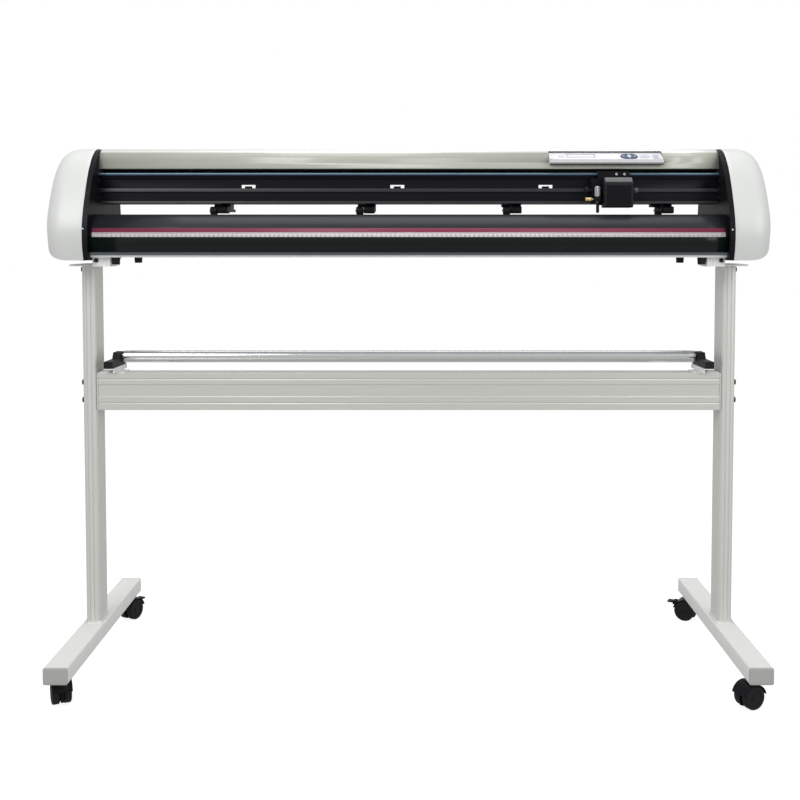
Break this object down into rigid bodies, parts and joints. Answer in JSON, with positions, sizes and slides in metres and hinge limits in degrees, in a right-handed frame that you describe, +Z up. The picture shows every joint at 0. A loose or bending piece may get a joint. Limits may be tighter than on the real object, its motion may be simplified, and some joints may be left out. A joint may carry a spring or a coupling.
{
  "type": "vinyl cutter",
  "caption": "Roll-fed vinyl cutter on a wheeled stand: domed end covers, long platen with scale, knife carriage on a beam, pinch wheels, key panel and media roller.",
  "frame": {"origin": "on the floor, under the centre of the machine's bounding box", "axes": "+X to the operator's right along the machine, +Y to the rear, +Z up"},
  "size_m": [1.58, 0.6172, 1.168],
  "materials": {
    "painted_grey": "satin",
    "anodised_silver": "brushed satin",
    "grey_plastic": "moulded",
    "black_plastic": "moulded",
    "tyre_black": "matt",
    "bright_tube": "polished",
    "white_shell": "semi-gloss",
    "black_metal": "satin",
    "black_extrusion": "anodised",
    "beige_cover": "gloss",
    "scale_print": "printed",
    "steel": "ground",
    "dark_steel": "blackened",
    "brass": "turned",
    "belt": "matt",
    "display": "clear",
    "key_blue": "printed",
    "key_grey": "printed",
    "board": "lacquered",
    "strip": "soft"
  },
  "bodies": {
    "machine": {"foot_tubes": "painted_grey", "foot_end_caps": "grey_plastic", "columns": "anodised_silver", "crossbar": "anodised_silver", "stand_brackets": "painted_grey", "roll_cradles": "black_plastic", "fasteners": "dark_steel", "end_cover_right": "white_shell", "end_cover_left": "white_shell", "side_plate_right": "black_metal", "side_plate_left": "black_metal", "main_beam": "black_extrusion", "top_cover": "beige_cover", "base_pan": "painted_grey", "platen": "black_extrusion", "ruler_strip": "scale_print", "cutting_strip": "strip", "rubber_feet": "tyre_black", "stepper_motors": "dark_steel", "guide_rail": "steel", "drive_belt": "belt", "control_console": "white_shell", "display_window": "display", "electronics": "board", "power_inlet": "black_plastic"},
    "media_roller": {"media_roller": "bright_tube"},
    "feed_shaft": {"grit_shaft": "steel"},
    "feed_pinion": {"feed_pinion": "brass"},
    "drive_pulley": {"drive_pulley": "steel"},
    "idler_pulley": {"idler_pulley": "steel"},
    "carriage": {"carriage": "black_metal", "carriage_cover": "black_plastic"},
    "tool_slide": {"tool_slide": "black_metal"},
    "tool_clamp_screw": {"tool_clamp_screw": "brass"},
    "blade": {"blade": "steel"},
    "arrow_pad": {"arrow_pad": "key_blue"},
    "mode_key": {"mode_key": "key_grey"},
    "power_switch": {"power_switch": "black_plastic"},
    "pinch_block_1": {"pinch_block_1": "black_plastic"},
    "pinch_arm_1": {"pinch_arm_1": "black_metal"},
    "pinch_wheel_1": {"pinch_wheel_1": "tyre_black"},
    "pinch_block_2": {"pinch_block_2": "black_plastic"},
    "pinch_arm_2": {"pinch_arm_2": "black_metal"},
    "pinch_wheel_2": {"pinch_wheel_2": "tyre_black"},
    "pinch_block_3": {"pinch_block_3": "black_plastic"},
    "pinch_arm_3": {"pinch_arm_3": "black_metal"},
    "pinch_wheel_3": {"pinch_wheel_3": "tyre_black"},
    "pinch_block_4": {"pinch_block_4": "black_plastic"},
    "pinch_arm_4": {"pinch_arm_4": "black_metal"},
    "pinch_wheel_4": {"pinch_wheel_4": "tyre_black"},
    "caster_hood_front_left": {"caster_hood_front_left": "black_plastic"},
    "caster_wheels_front_left": {"caster_wheels_front_left": "tyre_black"},
    "caster_hood_front_right": {"caster_hood_front_right": "black_plastic"},
    "caster_wheels_front_right": {"caster_wheels_front_right": "tyre_black"},
    "caster_hood_rear_left": {"caster_hood_rear_left": "black_plastic"},
    "caster_wheels_rear_left": {"caster_wheels_rear_left": "tyre_black"},
    "caster_brake_rear_left": {"caster_brake_rear_left": "black_plastic"},
    "caster_hood_rear_right": {"caster_hood_rear_right": "black_plastic"},
    "caster_wheels_rear_right": {"caster_wheels_rear_right": "tyre_black"},
    "caster_brake_rear_right": {"caster_brake_rear_right": "black_plastic"}
  },
  "joints": [
    {"name": "media_roller_spin", "type": "hinge", "parent": "machine", "child": "media_roller", "pos_m": [0, 0.04, 0.6954], "axis": [1, 0, 0], "continuous": true},
    {"name": "feed_spin", "type": "hinge", "parent": "machine", "child": "feed_shaft", "pos_m": [0, -0.02, 1.0103], "axis": [1, 0, 0], "continuous": true},
    {"name": "feed_pinion_spin", "type": "hinge", "parent": "machine", "child": "feed_pinion", "pos_m": [-0.706, -0.02, 0.9728], "axis": [1, 0, 0], "continuous": true},
    {"name": "carriage_slide", "type": "slide", "parent": "machine", "child": "carriage", "axis": [1, 0, 0], "range_m": [-1.06, 0.165]},
    {"name": "drive_pulley_spin", "type": "hinge", "parent": "machine", "child": "drive_pulley", "pos_m": [0.735, 0.005, 1.123], "axis": [0, 0, 1], "range_deg": [-4422, 692.5]},
    {"name": "idler_pulley_spin", "type": "hinge", "parent": "machine", "child": "idler_pulley", "pos_m": [-0.735, 0.005, 1.123], "axis": [0, 0, 1], "range_deg": [-4422, 692.5]},
    {"name": "tool_lift", "type": "slide", "parent": "carriage", "child": "tool_slide", "axis": [0, 0, -1], "range_m": [0, 0.002], "stiffness_N_per_m": 200, "springref_m": -0.01},
    {"name": "clamp_screw_turn", "type": "hinge", "parent": "tool_slide", "child": "tool_clamp_screw", "pos_m": [0.395, -0.075, 1.0525], "axis": [1, 0, 0], "range_deg": [0, 720]},
    {"name": "blade_swivel", "type": "hinge", "parent": "tool_slide", "child": "blade", "pos_m": [0.414, -0.075, 1.03], "axis": [0, 0, 1], "continuous": true},
    {"name": "pinch_slide_1", "type": "slide", "parent": "machine", "child": "pinch_block_1", "axis": [1, 0, 0], "range_m": [-0.04, 0.04]},
    {"name": "pinch_lift_1", "type": "hinge", "parent": "pinch_block_1", "child": "pinch_arm_1", "pos_m": [-0.425, 0.014, 1.036], "axis": [-1, 0, 0], "range_deg": [0, 7], "stiffness_Nm_per_rad": 2, "springref_deg": -17.19},
    {"name": "pinch_spin_1", "type": "hinge", "parent": "pinch_arm_1", "child": "pinch_wheel_1", "pos_m": [-0.425, -0.02, 1.0296], "axis": [1, 0, 0], "continuous": true},
    {"name": "pinch_slide_2", "type": "slide", "parent": "machine", "child": "pinch_block_2", "axis": [1, 0, 0], "range_m": [-0.04, 0.04]},
    {"name": "pinch_lift_2", "type": "hinge", "parent": "pinch_block_2", "child": "pinch_arm_2", "pos_m": [-0.098, 0.014, 1.036], "axis": [-1, 0, 0], "range_deg": [0, 7], "stiffness_Nm_per_rad": 2, "springref_deg": -17.19},
    {"name": "pinch_spin_2", "type": "hinge", "parent": "pinch_arm_2", "child": "pinch_wheel_2", "pos_m": [-0.098, -0.02, 1.0296], "axis": [1, 0, 0], "continuous": true},
    {"name": "pinch_slide_3", "type": "slide", "parent": "machine", "child": "pinch_block_3", "axis": [1, 0, 0], "range_m": [-0.04, 0.04]},
    {"name": "pinch_lift_3", "type": "hinge", "parent": "pinch_block_3", "child": "pinch_arm_3", "pos_m": [0.231, 0.014, 1.036], "axis": [-1, 0, 0], "range_deg": [0, 7], "stiffness_Nm_per_rad": 2, "springref_deg": -17.19},
    {"name": "pinch_spin_3", "type": "hinge", "parent": "pinch_arm_3", "child": "pinch_wheel_3", "pos_m": [0.231, -0.02, 1.0296], "axis": [1, 0, 0], "continuous": true},
    {"name": "pinch_slide_4", "type": "slide", "parent": "machine", "child": "pinch_block_4", "axis": [1, 0, 0], "range_m": [-0.04, 0.04]},
    {"name": "pinch_lift_4", "type": "hinge", "parent": "pinch_block_4", "child": "pinch_arm_4", "pos_m": [0.571, 0.014, 1.036], "axis": [-1, 0, 0], "range_deg": [0, 7], "stiffness_Nm_per_rad": 2, "springref_deg": -17.19},
    {"name": "pinch_spin_4", "type": "hinge", "parent": "pinch_arm_4", "child": "pinch_wheel_4", "pos_m": [0.571, -0.02, 1.0296], "axis": [1, 0, 0], "continuous": true},
    {"name": "arrow_pad_press", "type": "slide", "parent": "machine", "child": "arrow_pad", "axis": [0, 0.4695, -0.8829], "range_m": [0, 0.0008], "stiffness_N_per_m": 500, "springref_m": -0.0008},
    {"name": "mode_key_press", "type": "slide", "parent": "machine", "child": "mode_key", "axis": [0, 0.4695, -0.8829], "range_m": [0, 0.0008], "stiffness_N_per_m": 500, "springref_m": -0.0008},
    {"name": "power_switch_rock", "type": "hinge", "parent": "machine", "child": "power_switch", "pos_m": [0.65, 0.12, 0.962], "axis": [-1, 0, 0], "range_deg": [0, 12]},
    {"name": "caster_swivel_front_left", "type": "hinge", "parent": "machine", "child": "caster_hood_front_left", "pos_m": [-0.7175, -0.258, 0.05], "axis": [0, 0, 1], "continuous": true},
    {"name": "caster_spin_front_left", "type": "hinge", "parent": "caster_hood_front_left", "child": "caster_wheels_front_left", "pos_m": [-0.7242, -0.24347, 0.025], "axis": [-0.908, -0.4191, 0], "continuous": true},
    {"name": "caster_swivel_front_right", "type": "hinge", "parent": "machine", "child": "caster_hood_front_right", "pos_m": [0.7175, -0.258, 0.05], "axis": [0, 0, 1], "continuous": true},
    {"name": "caster_spin_front_right", "type": "hinge", "parent": "caster_hood_front_right", "child": "caster_wheels_front_right", "pos_m": [0.7031, -0.26498, 0.025], "axis": [0.436, -0.9, 0], "continuous": true},
    {"name": "caster_swivel_rear_left", "type": "hinge", "parent": "machine", "child": "caster_hood_rear_left", "pos_m": [-0.7175, 0.258, 0.05], "axis": [0, 0, 1], "continuous": true},
    {"name": "caster_spin_rear_left", "type": "hinge", "parent": "caster_hood_rear_left", "child": "caster_wheels_rear_left", "pos_m": [-0.71079, 0.27253, 0.025], "axis": [-0.908, 0.4191, 0], "continuous": true},
    {"name": "caster_brake_press_rear_left", "type": "hinge", "parent": "caster_hood_rear_left", "child": "caster_brake_rear_left", "pos_m": [-0.69864, 0.29886, 0.041], "axis": [0.908, -0.4191, 0], "range_deg": [0, 20]},
    {"name": "caster_swivel_rear_right", "type": "hinge", "parent": "machine", "child": "caster_hood_rear_right", "pos_m": [0.7175, 0.258, 0.05], "axis": [0, 0, 1], "continuous": true},
    {"name": "caster_spin_rear_right", "type": "hinge", "parent": "caster_hood_rear_right", "child": "caster_wheels_rear_right", "pos_m": [0.70342, 0.2656, 0.025], "axis": [-0.475, -0.88, 0], "continuous": true},
    {"name": "caster_brake_press_rear_right", "type": "hinge", "parent": "caster_hood_rear_right", "child": "caster_brake_rear_right", "pos_m": [0.6779, 0.27937, 0.041], "axis": [0.475, 0.88, 0], "range_deg": [0, 20]}
  ],
  "couplings": [
    {"joint": "feed_pinion_spin", "follows": "feed_spin", "ratio": -4},
    {"joint": "drive_pulley_spin", "follows": "carriage_slide", "rad_per_m": 72.727},
    {"joint": "idler_pulley_spin", "follows": "carriage_slide", "rad_per_m": 72.727}
  ]
}
